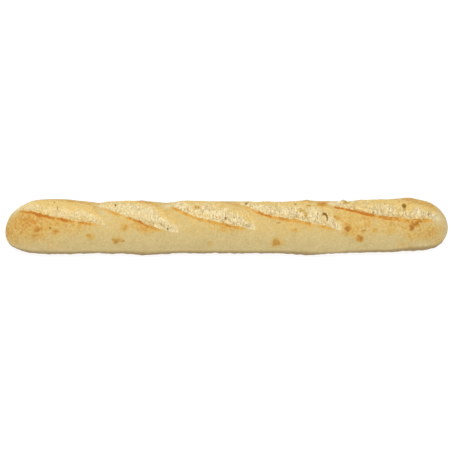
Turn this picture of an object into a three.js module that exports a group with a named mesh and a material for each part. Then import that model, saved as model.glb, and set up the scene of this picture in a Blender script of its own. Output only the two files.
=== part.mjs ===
// Baguette: one closed solid of bread with five slashes that opened along its top in the oven.
//
// Units are millimetres, +Z is up, +X runs along the loaf, and the slashes run down towards its front, -Y.
// The origin is the middle of the bounding box's underside, so the loaf lies on z = 0.
//
// A place on the loaf is given by x, its distance along the loaf from the middle, and by its turn, the
// angle in degrees round the loaf from the top: 90 is the front, 180 the underside and -90 the back.
// The crust is a plain rounded form with a flat underside. On it lie low swellings, and each slash adds a
// raised lip (the ear), a sharp step down behind it, and the crumb that rose out of the cut (the bloom).

import * as THREE from "three";

// ---- The plain loaf ----

const LENGTH = 550;
const HEIGHT = 54.4;
const HALF_WIDTH = 34.8;
const WIDEST_HEIGHT = 21.3; // how high above the base the loaf is widest
const TIP_HEIGHT = 16; // how high above the base both tips are
const TIP_REACH = 60; // how far from each tip that height has been left behind
const UNDER_DEPTH = 27; // depth of the lower half before the flat base cuts it off
const BASE_ROUNDING = 3; // how softly the flat base turns into the sides
const SQUARENESS = 2.15; // 2 is an ellipse, more is squarer

// Each end is drawn in over these lengths, separately for the sides, the top and the underside.
const LEFT_END = { side: 60, top: 46, under: 40 };
const RIGHT_END = { side: 48, top: 55, under: 32 };
const END_FULLNESS = 2.1; // 2 is an elliptical end, more is blunter

// The right end bends towards the back.
const BEND_START = 110;
const BEND = 12;

// Where the loaf is stouter than the rest, as a share of its size.
const STOUT_PLACES = [
  { x: -215, reach: 45, gain: 0.06 },
  { x: 215, reach: 35, gain: 0.02 },
];

// Low swellings and dents of the crust: place, reach along and round the loaf, and height.
const SWELLINGS = [
  { x: -160, turn: -26, along: 11, round: 28, height: -2.6 },
  { x: -75, turn: -26, along: 10, round: 28, height: -1.6 },
  { x: 35, turn: -26, along: 25, round: 28, height: -1.2 },
  { x: 151, turn: -26, along: 9, round: 28, height: -1.6 },
  { x: -110, turn: -26, along: 12, round: 24, height: 1 },
  { x: 99, turn: -26, along: 14, round: 24, height: 1.2 },
  { x: 226, turn: -26, along: 12, round: 24, height: 1.2 },
  { x: -97, turn: 112, along: 16, round: 30, height: 1.8 },
  { x: 108, turn: 112, along: 20, round: 30, height: 2.4 },
  { x: -30, turn: 95, along: 30, round: 28, height: -0.8 },
  { x: 40, turn: 80, along: 34, round: 25, height: 0.7 },
  { x: -165, turn: 85, along: 24, round: 25, height: -0.7 },
  { x: -120, turn: -80, along: 45, round: 30, height: 1.2 },
  { x: 60, turn: -85, along: 38, round: 30, height: -1 },
  { x: 170, turn: -75, along: 40, round: 30, height: 1 },
];

// ---- The slashes ----

// Each slash starts near the top of the loaf and runs down the front as it goes right. ear gives the places
// [x, turn] that its ear passes through from start to end, opening is the widest part of its bloom, in
// degrees, and at gap the ear is broken and its lip stays low.
const SLASHES = [
  { ear: [[-262, -6], [-248, 12], [-232, 24], [-200, 36], [-165, 45], [-150, 49]], opening: 52, gap: -186 },
  { ear: [[-160, -5], [-131, 21], [-100, 42], [-80, 56], [-57, 66]], opening: 56, gap: -126 },
  { ear: [[-73, -4], [-50, 15], [-30, 29], [0, 45], [37, 60]], opening: 60, gap: -38 },
  { ear: [[14, -8], [35, 14], [58, 28], [80, 34], [110, 47], [142, 62]], opening: 60, gap: 105 },
  { ear: [[127, -6], [150, 7], [180, 27.5], [215, 39], [262, 36]], opening: 60, gap: 184 },
];
const LEAF_POWER = 0.7; // below 1 the bloom is blunt at both ends
const FADE_IN = 0.14; // share of a slash over which it deepens
const FADE_OUT = 0.2; // share of a slash over which it ends

const LIP_HEIGHT = 1.9; // the ear above the plain loaf
const LIP_REACH = 5.5; // how far in front of the ear the crust lifts
const CUT_DEPTH = 2; // the step behind the ear, below the plain loaf
const CUT_REACH = 4.5; // how far behind the ear the bloom has risen again
const BLOOM_HEIGHT = 2.5; // the crest of the bloom above the plain loaf
const STEP_WIDTH = 0.9; // the ear's steep rear face, seen from above
const GAP_REACH = 5;
const GAP_LOSS = 0.75; // share of the lip that is missing at a gap
const WAVE_LENGTHS = [43, 19]; // unevenness along the ear
const WAVE_TURNS = [0.4, 0.5];
const WAVE_SHARES = [0.14, 0.12];

// ---- The mesh ----

const COLUMN_STEP = 4.5;
const END_COLUMNS = 15;
const END_LENGTH = 54;
const ROWS = 43;
const ROW_CROWDING = 0.49; // rows lie this much closer together where the slashes are
const CROWDED_TURN = 14;
const FITTED_ROWS = 4; // rows on each side that make room for an ear's rows
const DEGREES = 180 / Math.PI;
const ARC_PER_DEGREE = HALF_WIDTH / DEGREES; // mm round the loaf for each degree of turn
const NUDGE = 0.02; // step used to measure the surface's slope

// ---- Shape functions ----

/** Rises from 0 to 1, smoothly, as t goes from 0 to 1. */
function smoothStep(t) {
  const clamped = THREE.MathUtils.clamp(t, 0, 1);
  return clamped * clamped * (3 - 2 * clamped);
}

/** A bell of height 1 round 0 that has fallen to 1/e at reach. */
function bell(distance, reach) {
  return Math.exp(-((distance / reach) ** 2));
}

/** Half-thickness of an end, from 0 at the tip to 1 at its full length. */
function endProfile(fromTip, length) {
  const t = THREE.MathUtils.clamp(fromTip / length, 0, 1);
  return Math.sqrt(1 - (1 - t) ** END_FULLNESS);
}

/** Height of the loaf's axis above the base: it sinks towards both tips. */
function axisHeight(fromTip) {
  const toTip = THREE.MathUtils.clamp(1 - fromTip / TIP_REACH, 0, 1);
  return WIDEST_HEIGHT - (WIDEST_HEIGHT - TIP_HEIGHT) * toTip * toTip;
}

/** The larger of a height and 0, with the corner between them rounded off. */
function restOnBase(z) {
  const corner = Math.max(BASE_ROUNDING - Math.abs(z), 0);
  return Math.max(z, 0) + (corner * corner) / (4 * BASE_ROUNDING);
}

/** Sine or cosine reshaped so that the section is squarer than an ellipse. */
function squared(value) {
  return Math.sign(value) * Math.abs(value) ** (2 / SQUARENESS);
}

/** Height of the low swellings at a place. */
function swellingHeight(x, turn) {
  let height = 0;
  for (const swelling of SWELLINGS) {
    const along = bell(x - swelling.x, swelling.along);
    const round = bell(turn - swelling.turn, swelling.round);
    height += swelling.height * along * round;
  }
  return height;
}

/** Size of the loaf's section at x, as a share of the usual one. */
function stoutnessAt(x) {
  return STOUT_PLACES.reduce((sum, place) => sum + place.gain * bell(x - place.x, place.reach), 1);
}

/** A point of the loaf without its slashes. */
function crustPoint(x, turn) {
  const end = x < 0 ? LEFT_END : RIGHT_END;
  const fromTip = LENGTH / 2 - Math.abs(x);
  const stoutness = stoutnessAt(x);
  const axis = axisHeight(fromTip);
  const width = HALF_WIDTH * stoutness * endProfile(fromTip, end.side);
  const upper = (HEIGHT * stoutness - axis) * endProfile(fromTip, end.top);
  const lower = UNDER_DEPTH * endProfile(fromTip, end.under);
  const bend = BEND * Math.max((x - BEND_START) / (LENGTH / 2 - BEND_START), 0) ** 2;

  const across = Math.sin(turn / DEGREES);
  const upward = Math.cos(turn / DEGREES);
  const swell = swellingHeight(x, turn) * endProfile(fromTip, end.side);
  const y = -(width + swell) * squared(across) + bend;
  const z = axis + (upward > 0 ? upper + swell : lower) * squared(upward);
  return new THREE.Vector3(x, y, restOnBase(z));
}

/** The direction that faces straight out of the loaf at a place. */
function outward(x, turn) {
  const along = crustPoint(x + NUDGE, turn).sub(crustPoint(x - NUDGE, turn));
  const round = crustPoint(x, turn + NUDGE).sub(crustPoint(x, turn - NUDGE));
  return round.cross(along).normalize();
}

/** The turn at x of a smooth line through places [x, turn]. */
function turnOnLine(places, x) {
  const distances = places.map((place) => place[0]);
  const turns = places.map((place) => place[1]);
  return new THREE.CubicInterpolant(distances, turns, 1, [0]).evaluate(x)[0];
}

/** How far along a slash x is, from 0 at its start to 1 at its end. */
function shareAlong(slash, x) {
  const start = slash.ear[0][0];
  const end = slash.ear.at(-1)[0];
  return (x - start) / (end - start);
}

/** Sum of gentle waves along the loaf, one of each size for each wave length, shifted by a phase. */
function waves(x, sizes, phase) {
  const wave = (size, i) => size * Math.sin((2 * Math.PI * x) / WAVE_LENGTHS[i] + phase);
  return sizes.map(wave).reduce((sum, height) => sum + height, 0);
}

/** The turn of a slash's ear at x. */
function earTurn(slash, x) {
  return turnOnLine(slash.ear, x) + waves(x, WAVE_TURNS, 0);
}

/** Width of a slash's bloom at x, in degrees: a long leaf, widest half way. */
function bloomOpening(slash, x) {
  const share = shareAlong(slash, x);
  return slash.opening * (4 * share * (1 - share)) ** LEAF_POWER;
}

/** How strong a slash is at x: it fades in and out at its ends. */
function slashStrength(slash, x) {
  const share = shareAlong(slash, x);
  return smoothStep(share / FADE_IN) * smoothStep((1 - share) / FADE_OUT);
}

/** Height of the ear above the plain loaf. */
function lipHeight(slash, x) {
  const uneven = 1 + waves(x, WAVE_SHARES, Math.PI / 2);
  return LIP_HEIGHT * uneven * (1 - GAP_LOSS * bell(x - slash.gap, GAP_REACH));
}

/** True where a slash crosses the loaf's section at x. */
function crosses(slash, x) {
  const share = shareAlong(slash, x);
  return share > 0 && share < 1;
}

/** Height of all slashes above the plain loaf at a place. */
function slashRelief(x, turn) {
  let height = 0;
  for (const slash of SLASHES.filter((each) => crosses(each, x))) {
    const behindEar = earTurn(slash, x) - turn;
    const strength = slashStrength(slash, x);
    if (behindEar <= 0) {
      height += strength * lipHeight(slash, x) * Math.exp((behindEar * ARC_PER_DEGREE) / LIP_REACH);
      continue;
    }
    const share = behindEar / bloomOpening(slash, x);
    if (share < 1) {
      const cut = CUT_DEPTH * Math.exp((-behindEar * ARC_PER_DEGREE) / CUT_REACH);
      height += strength * (4 * share * (1 - share) * BLOOM_HEIGHT - (1 - share) * cut);
    }
  }
  return height;
}

/** A point of the finished loaf. */
function loafPoint(x, turn) {
  return crustPoint(x, turn).addScaledVector(outward(x, turn), slashRelief(x, turn));
}

// ---- Mesh functions ----

/** Places of the mesh's columns along the loaf, closer together towards both tips. */
function columnPlaces() {
  const places = [];
  for (let i = 1; i <= END_COLUMNS; i += 1) {
    places.push(-LENGTH / 2 + END_LENGTH * (1 - Math.cos((Math.PI / 2) * (i / END_COLUMNS))));
  }
  const middle = LENGTH - 2 * END_LENGTH;
  const steps = Math.round(middle / COLUMN_STEP);
  for (let i = 1; i < steps; i += 1) {
    places.push(-middle / 2 + (middle * i) / steps);
  }
  const rightEnd = places.slice(0, END_COLUMNS).map((x) => -x);
  return places.concat(rightEnd.reverse());
}

/** Evenly changing turns of the mesh's rows, closest together where the slashes are. */
function plainTurns() {
  const turns = [];
  for (let row = 0; row < ROWS; row += 1) {
    const even = (360 * row) / ROWS - 180;
    turns.push(CROWDED_TURN + even - ROW_CROWDING * DEGREES * Math.sin(even / DEGREES));
  }
  return turns;
}

/** Moves one row to a turn, and spaces the rows between it and a fixed row evenly. */
function fitRows(turns, movedRow, turn, fixedRow) {
  const fixed = turns[fixedRow];
  const direction = Math.sign(movedRow - fixedRow);
  for (let row = fixedRow + direction; row !== movedRow + direction; row += direction) {
    turns[row] = THREE.MathUtils.mapLinear(row, fixedRow, movedRow, fixed, turn);
  }
}

/** Turns of the rows at x, with one row on each ear and the next one at the foot of its rear face. */
function rowTurns(x) {
  const turns = plainTurns();
  for (const slash of SLASHES.filter((each) => crosses(each, x))) {
    const ear = earTurn(slash, x);
    const distances = turns.map((turn) => Math.abs(turn - ear));
    const earRow = distances.indexOf(Math.min(...distances));
    const foot = ear - STEP_WIDTH / ARC_PER_DEGREE;
    fitRows(turns, earRow, ear, earRow + FITTED_ROWS);
    fitRows(turns, earRow - 1, foot, earRow - 1 - FITTED_ROWS);
  }
  return turns;
}

/** The loaf as one closed mesh: rings of points along it, joined by quads and closed at both tips. */
function loafGeometry() {
  const columns = columnPlaces();
  const points = [];
  for (const x of columns) {
    for (const turn of rowTurns(x)) {
      points.push(loafPoint(x, turn));
    }
  }
  const leftTip = points.push(crustPoint(-LENGTH / 2, 0)) - 1;
  const rightTip = points.push(crustPoint(LENGTH / 2, 0)) - 1;

  const faces = [];
  const lastRing = (columns.length - 1) * ROWS;
  for (let row = 0; row < ROWS; row += 1) {
    const next = (row + 1) % ROWS;
    faces.push(leftTip, next, row);
    faces.push(lastRing + row, lastRing + next, rightTip);
    for (let ring = 0; ring < lastRing; ring += ROWS) {
      // The quad's diagonal runs the way the ears do, so that each ear is a chain of mesh edges.
      const corner = ring + row;
      const across = ring + ROWS + next;
      faces.push(corner, across, ring + ROWS + row);
      faces.push(corner, ring + next, across);
    }
  }

  const geometry = new THREE.BufferGeometry().setFromPoints(points);
  geometry.setIndex(faces);
  const box = new THREE.Box3().setFromPoints(points);
  const middle = box.getCenter(new THREE.Vector3());
  geometry.translate(-middle.x, -middle.y, -box.min.z);
  geometry.computeVertexNormals();
  return geometry;
}

// ---- The object ----

/** Pale, thinly browned crust: matt and dry. */
function crustMaterial() {
  return new THREE.MeshStandardMaterial({ color: 0xdcc184, roughness: 0.8, metalness: 0 });
}

const loaf = new THREE.Mesh(loafGeometry(), crustMaterial());
loaf.name = "loaf";

const baguette = new THREE.Group();
baguette.name = "baguette";
baguette.add(loaf);

export default baguette;
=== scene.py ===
"""A slashed baguette: the loaf's shape and looks, and the studio stage that it is shown on."""

import math
from types import SimpleNamespace

import bmesh
import bpy
import numpy as np
from mathutils import Color, Matrix, Vector, noise


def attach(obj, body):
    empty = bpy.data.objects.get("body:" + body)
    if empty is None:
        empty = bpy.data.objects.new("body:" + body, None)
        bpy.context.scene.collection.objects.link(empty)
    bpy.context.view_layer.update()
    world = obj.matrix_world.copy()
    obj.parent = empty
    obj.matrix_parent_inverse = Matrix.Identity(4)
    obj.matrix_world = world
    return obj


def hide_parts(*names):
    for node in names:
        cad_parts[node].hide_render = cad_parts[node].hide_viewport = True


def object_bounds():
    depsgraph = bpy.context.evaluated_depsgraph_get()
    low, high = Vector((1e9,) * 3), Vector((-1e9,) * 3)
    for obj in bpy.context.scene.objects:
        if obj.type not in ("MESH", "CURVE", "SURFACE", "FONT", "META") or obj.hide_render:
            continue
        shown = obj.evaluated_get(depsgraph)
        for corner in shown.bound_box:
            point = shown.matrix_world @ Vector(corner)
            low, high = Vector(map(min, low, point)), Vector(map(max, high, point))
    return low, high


bl_info = {
    "name": "Baguette",
    "version": (1, 0, 0),
    "blender": (4, 5, 0),
    "location": "3D View > Sidebar > Baguette",
    "description": "Builds a slashed baguette and the stage that it is shown on",
    "category": "Add Mesh",
}

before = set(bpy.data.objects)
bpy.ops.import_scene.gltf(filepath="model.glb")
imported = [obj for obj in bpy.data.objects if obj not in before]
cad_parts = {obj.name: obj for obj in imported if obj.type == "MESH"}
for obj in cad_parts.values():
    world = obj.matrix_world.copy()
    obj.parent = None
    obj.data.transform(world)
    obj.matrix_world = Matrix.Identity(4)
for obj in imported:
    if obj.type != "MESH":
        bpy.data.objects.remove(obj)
frame_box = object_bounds()

# A place on the loaf is given by x, its distance along the loaf from the middle in millimetres, and by its
# turn, the angle in degrees round the loaf from the top: 90 is the front, 180 the underside, -90 the back.
# Lengths on the loaf are in millimetres. The mesh is turned into metres when it is finished.
MM = 0.001

# ---- The plain loaf ----

LENGTH = 550
HEIGHT = 54.4
HALF_WIDTH = 34.8
WIDEST_HEIGHT = 21.3  # how high above the base the loaf is widest
TIP_HEIGHT = 16  # how high above the base both tips are
TIP_REACH = 60  # how far from each tip that height has been left behind
UNDER_DEPTH = 27  # depth of the lower half before the flat base cuts it off
BASE_ROUNDING = 3  # how softly the flat base turns into the sides
SQUARENESS = 2.15  # 2 is an ellipse, more is squarer
ARC = HALF_WIDTH * math.pi / 180  # millimetres round the loaf for each degree of turn

# Each end is drawn in over these lengths: the sides, the top and the underside.
LEFT_END = (60, 46, 40)
RIGHT_END = (48, 55, 32)
END_FULLNESS = 2.1  # 2 is an elliptical end, more is blunter

# The right end bends towards the back.
BEND_START = 110
BEND = 12

# Where the loaf is stouter than the rest: x, reach, and share of its size.
STOUT_PLACES = [(-215, 45, 0.06), (215, 35, 0.02)]

# Low swellings and dents: x, turn, reach along the loaf and round it in degrees, height.
SWELLINGS = [
    (-165, 85, 24, 25, -0.7), (-160, -26, 11, 28, -2.6), (-110, -26, 12, 24, 1), (-97, 112, 16, 30, 1.8),
    (-75, -26, 10, 28, -1.6), (-30, 95, 30, 28, -0.8), (35, -26, 25, 28, -1.2), (40, 80, 34, 25, 0.7),
    (99, -26, 14, 24, 1.2), (108, 112, 20, 30, 2.4), (151, -26, 9, 28, -1.6), (226, -26, 12, 24, 1.2),
    # At the back.
    (-120, -80, 45, 30, 1.2), (60, -85, 38, 30, -1), (170, -75, 40, 30, 1),
]

# Small knobs and hollows: x, turn, reach along, reach round, height.
KNOBS = [
    (-266, 95, 8, 30, 0.7), (-254, -26, 9, 30, -0.5), (-180, -20, 12, 30, -1.5), (-167.5, -22, 4, 20, 0.5),
    (-159, -22, 4, 20, -0.4), (-142, -18, 8, 25, -0.6), (-122, -20, 5, 20, 0.5), (-105, -20, 3.2, 12, 0.9),
    (-105, 130, 24, 16, 2), (10, -18, 28, 30, 0.5), (26, -20, 6, 20, 1), (46, -20, 6, 20, 0.7),
    (66, -18, 9, 25, -0.7), (96, 130, 20, 16, 1.8), (98, -21, 3.2, 12, 1.2), (107, -18, 6, 20, -0.2),
    (124, -16, 4, 16, 0.6), (143, -24, 3, 12, 2), (234, -12, 10, 25, -1.5), (266, 100, 8, 30, -0.7),
    (267, -5, 8, 45, -0.7),
]

# ---- The slashes ----

# Each slash starts near the top and runs down the front as it goes right. ear and far give the places
# (x, turn) that its ear and the far edge of its crumb pass through. toasting gives how brown the ear is at
# each x and how many degrees below the ear its brown band lies. opening is the widest part of the risen
# bloom in degrees, and at gap the ear is broken and its lip is low. baking is how golden the crumb is by
# the ear, and turns_golden gives the shares of the way to the far edge between which it turns fully golden.
# pores is how many small chance pores are tried in it, and creases how strongly its creases show.
SLASHES = [
    {
        "ear": [(-262, -6), (-248, 12), (-232, 24), (-200, 36), (-165, 45), (-146, 50)],
        "far": [
            (-262, -20), (-252, -34), (-228, -20), (-190, -13), (-171, -6), (-163, 9.5), (-157.5, 23.5),
            (-151, 37.5), (-146, 48),
        ],
        "toasting": [
            (-262, 0, 0), (-257.5, 0.05, 0.5), (-253, 0.65, 1), (-248, 0.8, 1.5), (-240, 0.8, 1.5),
            (-232, 1.15, -1), (-227, 1.1, -0.3), (-222, 0.9, -0.8), (-216, 1, 0.5), (-208, 0.55, 0.5),
            (-200, 1.15, -0.2), (-192, 0.75, 0.2), (-186.5, 0.65, 0.5), (-184, 0, 0.8), (-182.5, 0, 0.5),
            (-180.5, 0.72, 0), (-176, 0.78, -1), (-168, 0.68, -1.5), (-160, 0.3, -2), (-153, 0, -2),
        ],
        "opening": 52,
        "gap": -186,
        "baking": 0.3,
        "turns_golden": (0.25, 0.8),
        "pores": 40,
        "creases": 0.75,
    },
    {
        "ear": [(-160, -5), (-131, 21), (-100, 42), (-80, 56), (-57, 66)],
        "far": [
            (-160, -16), (-154, -30), (-130, -26), (-108, -19), (-92, -7), (-76, 20), (-63, 46), (-57, 64),
        ],
        "toasting": [
            (-160, 0.05, 2), (-154, 0.15, 2), (-147, 0.4, 3.5), (-138, 0.6, 2.5), (-131.5, 0.62, 2),
            (-128.5, 0, 0.5), (-125, 0, 0.5), (-122, 0.72, 2), (-114, 0.85, 1), (-106, 1, 1),
            (-98, 0.95, 3.8), (-90, 0.75, 1.8), (-82, 0.35, 1.5), (-76, 0.05, 1), (-68, 0, 0),
        ],
        "opening": 56,
        "gap": -126,
        "baking": 0.13,
        "turns_golden": (0.45, 0.82),
        "pores": 70,
        "creases": 0.9,
    },
    {
        "ear": [(-73, -4), (-50, 15), (-30, 29), (0, 45), (37, 60)],
        "far": [(-73, -14), (-67, -30), (-34, -28), (-12, -20), (2, -9), (15, 6), (31, 35), (37, 58)],
        "toasting": [
            (-70.5, 0, 0.5), (-66.5, 0.8, 0.5), (-64, 0.8, 1.5), (-57, 0.55, 4), (-50, 0.6, 5.5),
            (-43, 0.55, 6), (-35, 0.75, 5.5), (-27, 0.4, 4), (-19, 0.65, 3), (-11, 0.5, 2), (-3, 0.85, 0.5),
            (5, 0.65, 1), (13, 0.62, -0.5), (19, 0.35, 0), (24, 0.1, 0), (28, 0, 0),
        ],
        "opening": 60,
        "gap": -38,
        "baking": 0,
        "turns_golden": (0.25, 0.8),
        "pores": 120,
        "creases": 1.15,
    },
    {
        "ear": [(14, -8), (35, 14), (58, 28), (80, 34), (110, 47), (142, 62)],
        "far": [(14, -16), (20, -31), (58, -27), (85, -19), (105, -11), (122, 3), (135, 33), (142, 60)],
        "toasting": [
            (16, 0, -1), (21, 0.3, -1), (29, 0.6, 0), (36, 0.65, 1), (44, 0.95, 1), (52, 0.85, 1.5),
            (60, 0.6, 0.5), (68, 0.8, 1), (76, 0.6, 2.5), (84, 0.6, 0), (92, 0.55, 2), (100, 0.75, 0),
            (106, 0.15, 0), (110, 0.2, -0.5), (116, 0.65, -1.5), (124, 0.45, -2), (132, 0.15, 0),
            (138, 0, 0),
        ],
        "opening": 60,
        "gap": 105,
        "baking": 0.05,
        "turns_golden": (0.25, 0.8),
        "pores": 150,
        "creases": 1.15,
    },
    {
        "ear": [(127, -6), (150, 7), (180, 27.5), (215, 39), (262, 36)],
        "far": [(127, -18), (133, -34), (190, -33), (213, -17), (238, 0), (252, 10), (264, 26)],
        "toasting": [
            (129, 0, 3.5), (132, 1.15, 3.5), (141, 0.9, 3.5), (149, 1.15, 4), (157, 1, 2.5),
            (165, 1.15, 1.5), (173, 1.15, 0), (181, 0.62, 0), (189, 0.78, 0), (197, 0.85, -1),
            (205, 0.75, -3.5), (213, 0.35, -1), (221, 0.92, 2.5), (229, 0.98, 1), (237, 0.9, 1.5),
            (245, 0.65, 1), (253, 0.05, 4), (260, 0, 5),
        ],
        "opening": 60,
        "gap": 184,
        "baking": 0.3,
        "turns_golden": (0.25, 0.8),
        "pores": 90,
        "creases": 1.5,
    },
]
LEAF_POWER = 0.7  # below 1 the bloom is blunt at both ends
TINY = 1e-6  # keeps the bloom's width above 0 past its ends
RELIEF_FADES = (0.14, 0.2)  # shares of a slash over which its relief begins and ends
CRUMB_FADES = (0.03, 0.05)  # shares of a slash over which its open crumb begins and ends
STEP_WIDTH = 0.9  # the ear's steep rear face, seen from above
CUT_REACH = 4.5  # how far behind the ear the bloom has risen again
LIP_REACH = 5.5  # how far in front of the ear the crust lifts
LIP_UNEVENNESS = 0.35  # share by which the lip's height varies
GAP_REACH = 5
GAP_LOSS = 0.75  # share of the lip that is missing at a gap

# An ear's brown band: how far below the ear its edges are and over how much each fades.
BAND_TOP = 0.2
BAND_TOP_FADE = 1.2
BAND_BOTTOM = 5.8
BAND_BOTTOM_FADE = 2.6
BAND_REAR_FADE = 0.8
BAND_RAGGEDNESS = 0.4  # how far the noise moves its top
BAND_UNEVENNESS = 0.15  # share by which its brown varies
GLOW_REACH = 5.5  # how far below the ear the crust is toasted a little
# Where the bands are broader: x, reach, millimetres more.
BROAD_BANDS = [(-229, 5, 1.6), (168, 6, 1), (206, 13, 2.6), (240, 10, 1.2)]

CRUMB_BOTTOM = (1.1, 0.9)  # how far below the ear the open crumb ends, and over how much it fades
# How many degrees past its far edge it ends, over how many it fades, and how many the noise moves it.
CRUMB_MARGIN = 3
CRUMB_FADE = 9
CRUMB_RAGGEDNESS = 4
GOLDEN_RAGGEDNESS = 0.15  # share of the way to the far edge by which the golden part varies
RIM_TURN = 2  # how many degrees inside that edge its golden rim lies
RIM_RAGGEDNESS = 2
RIM_REACH = 11
RIM_STRENGTH = 0.8

# ---- Marks of the oven and the dough ----

# Broad toasted areas, and two weak ones below the ears that are painted shade: x, turn, reach along, reach
# round in degrees, strength.
TOASTED_AND_SHADED = [
    (-269, 62, 9, 40, 0.5), (-252, 42, 13, 22, 0.33), (-250, 62, 7, 8, 0.2), (-250, 88, 17, 16, 0.16),
    (-244, 44, 16, 24, 0.55), (-228, 74, 10, 12, 0.16), (-224, 50, 16, 16, 0.4), (-210, 90, 12, 14, 0.1),
    (-207, 47, 6, 5, 0.3), (-200, -14, 36, 11, 0.55), (-193, -4, 5, 7, 0.5), (-188, 58, 14, 11, 0.2),
    (-180, 50, 5, 5, 0.25), (-175, 82, 60, 24, 0.08), (-170, -4, 3.5, 6, 0.6), (-163, 7, 3.5, 7, 0.5),
    (-110, 51, 7, 7, 0.35), (-107, -20, 7, 9, 1.1), (-102, 50, 5, 4, 0.15), (-101, -12, 6, 5, 0.5),
    (-99, 56, 7, 9, 0.7), (-96, -12, 9, 7, 0.6), (-90, -1, 5, 6, 0.5), (-82, 9, 4, 7, 0.4),
    # (-10, 58) here and (75, 52) on the next line are painted shade below the ears.
    (-77, 17, 4, 7, 0.3), (-20, 53, 9, 6, 0.12), (-10, 58, 26, 10, 0.1), (-3, 58, 6, 5, 0.35),
    (0, -13, 12, 7, 0.8), (10, -4, 6, 9, 0.5), (72, -20, 26, 9, 0.35), (75, 52, 30, 11, 0.1),
    (97, -14, 7, 6, 0.25), (98, -14, 4.5, 8, 0.7), (117, -11, 5, 11, 1.5), (117, 1, 7, 6, 0.45),
    (123, 4, 3.5, 11, 0.25), (145, 66, 5, 6, 0.3), (146, -12, 5, 7, 0.4), (146, 34, 16, 20, 0.3),
    (154, 60, 8, 10, 0.4), (162, 68, 15, 15, 0.18), (163, 48, 7, 7, 0.12), (168, 33, 8, 7, 0.4),
    (197, 57, 25, 18, 0.2), (211.5, 98, 8, 10, 0.12), (213, 98, 8, 10, 0.1), (216, 62, 6, 6, 0.2),
    (223, 76, 10, 10, 0.15), (224, -17, 10, 12, 0.9), (224, -3, 5, 6, 0.4), (224.5, 80, 9, 12, 0.12),
    (225, 1, 8, 8, 0.75), (226, 46, 5, 5, 0.25), (226, 115, 7, 8, 0.65), (238, -2, 12, 6, 0.3),
    (244, 73, 17, 18, 0.28), (246, -10, 16, 9, 0.36), (251, 6, 9, 7, 0.3), (255, 66, 11, 24, 0.18),
    (262, 105, 10, 14, 0.25), (268, 0, 7, 40, 0.1),
    # At the back.
    (-256, -84, 20, 24, 0.5), (-190, -48, 30, 22, 0.3), (-70, -48, 34, 16, 0.3), (60, -52, 36, 18, 0.3),
    (165, -50, 30, 18, 0.35), (246, -56, 24, 36, 0.45),
]
# Spots: x, turn, reach along, reach round in degrees, strength, share that is burnt, share that is dull.
SPOTS = [
    (-233, 71.5, 5, 4, 1.2, 0.3, 0.5), (-229.5, 59, 5.6, 4.2, 1.1, 0.5, 0),
    (-214.5, 57, 1.8, 3, 0.9, 0.6, 0.9), (-207.8, 63, 4.4, 7.5, 0.8, 0.3, 0.3), (-195, -9, 4, 5, 0.5, 0, 0),
    (-193, 60, 3.5, 4, 0.3, 0, 0), (-166.5, 72, 5, 6.5, 0.75, 0.1, 0.4),
    (-134.5, 83, 4.7, 6.5, 1, 0.5, 0.85), (-127, 81, 2.4, 3, 0.8, 0.8, 0.9),
    (-125, 54, 4, 7, 0.85, 0.1, 0.3), (-37, 7, 4.4, 4.6, 0.42, 0, 0.4), (-22, 90, 4, 6, 0.35, 0, 0.8),
    (59.5, 86, 5.2, 8.5, 1, 0.4, 0.7), (67, 86, 2.4, 5, 0.35, 0, 0.7), (82, 58, 4, 5.5, 0.7, 0, 0.4),
    (91, 16, 3.6, 4, 0.5, 0.2, 0.4), (95, 25, 2.4, 5, 0.5, 0.4, 0.4), (117, -5.5, 5.2, 8.5, 1.4, 0.3, 0),
    (134, 31.5, 4, 5.5, 0.7, 0.1, 0), (146, -11, 3.4, 5, 0.9, 0.15, 0.8), (147, 55, 5, 9.5, 1, 0.85, 0),
    (161.5, 79, 4.9, 6.5, 1.15, 0.6, 0.1), (166, 63.5, 2.8, 3.6, 1, 0.6, 0.6),
    (171.5, 48, 3.2, 6, 0.85, 0, 0), (179, 61, 3.6, 5, 0.8, 0, 0.4), (197.5, 64.5, 5, 6, 0.4, 0, 0),
    (225, 59.5, 3.8, 6.5, 1.3, 0.7, 0), (225.5, 49.5, 3.2, 4.5, 1.1, 0.5, 0),
    (229, 52, 4.8, 6, 1.4, 0.8, 0), (233.5, 47, 4.2, 4.6, 1.2, 0.6, 0),
    # At the back.
    (-236, -58, 5, 8, 0.8, 0.3, 0), (-204, -84, 4, 6, 0.5, 0.1, 0.3), (-148, -62, 5, 7, 0.6, 0.1, 0.1),
    (-118, -96, 5, 8, 0.8, 0.5, 0.7), (-64, -70, 4, 6, 0.5, 0.1, 0), (-20, -88, 5, 7, 0.7, 0.4, 0.5),
    (-11, -80, 2.5, 3, 0.6, 0.7, 0.6), (44, -60, 4, 6, 0.5, 0, 0.2), (92, -92, 5, 8, 0.9, 0.4, 0.6),
    (131, -68, 4, 6, 0.5, 0.1, 0), (176, -85, 5, 8, 0.7, 0.3, 0.4), (212, -62, 6, 8, 0.9, 0.6, 0),
    (238, -80, 4, 5, 0.5, 0.2, 0.2),
]
# How many reaches from a spot's middle its parts end, and over how many they fade.
TOASTED_PART = (1.7, 1.4)
BURNT_PART = (1.15, 0.8)
DULL_PART = (2, 0.5)
BLISTER_HEIGHT = 0.35

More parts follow.
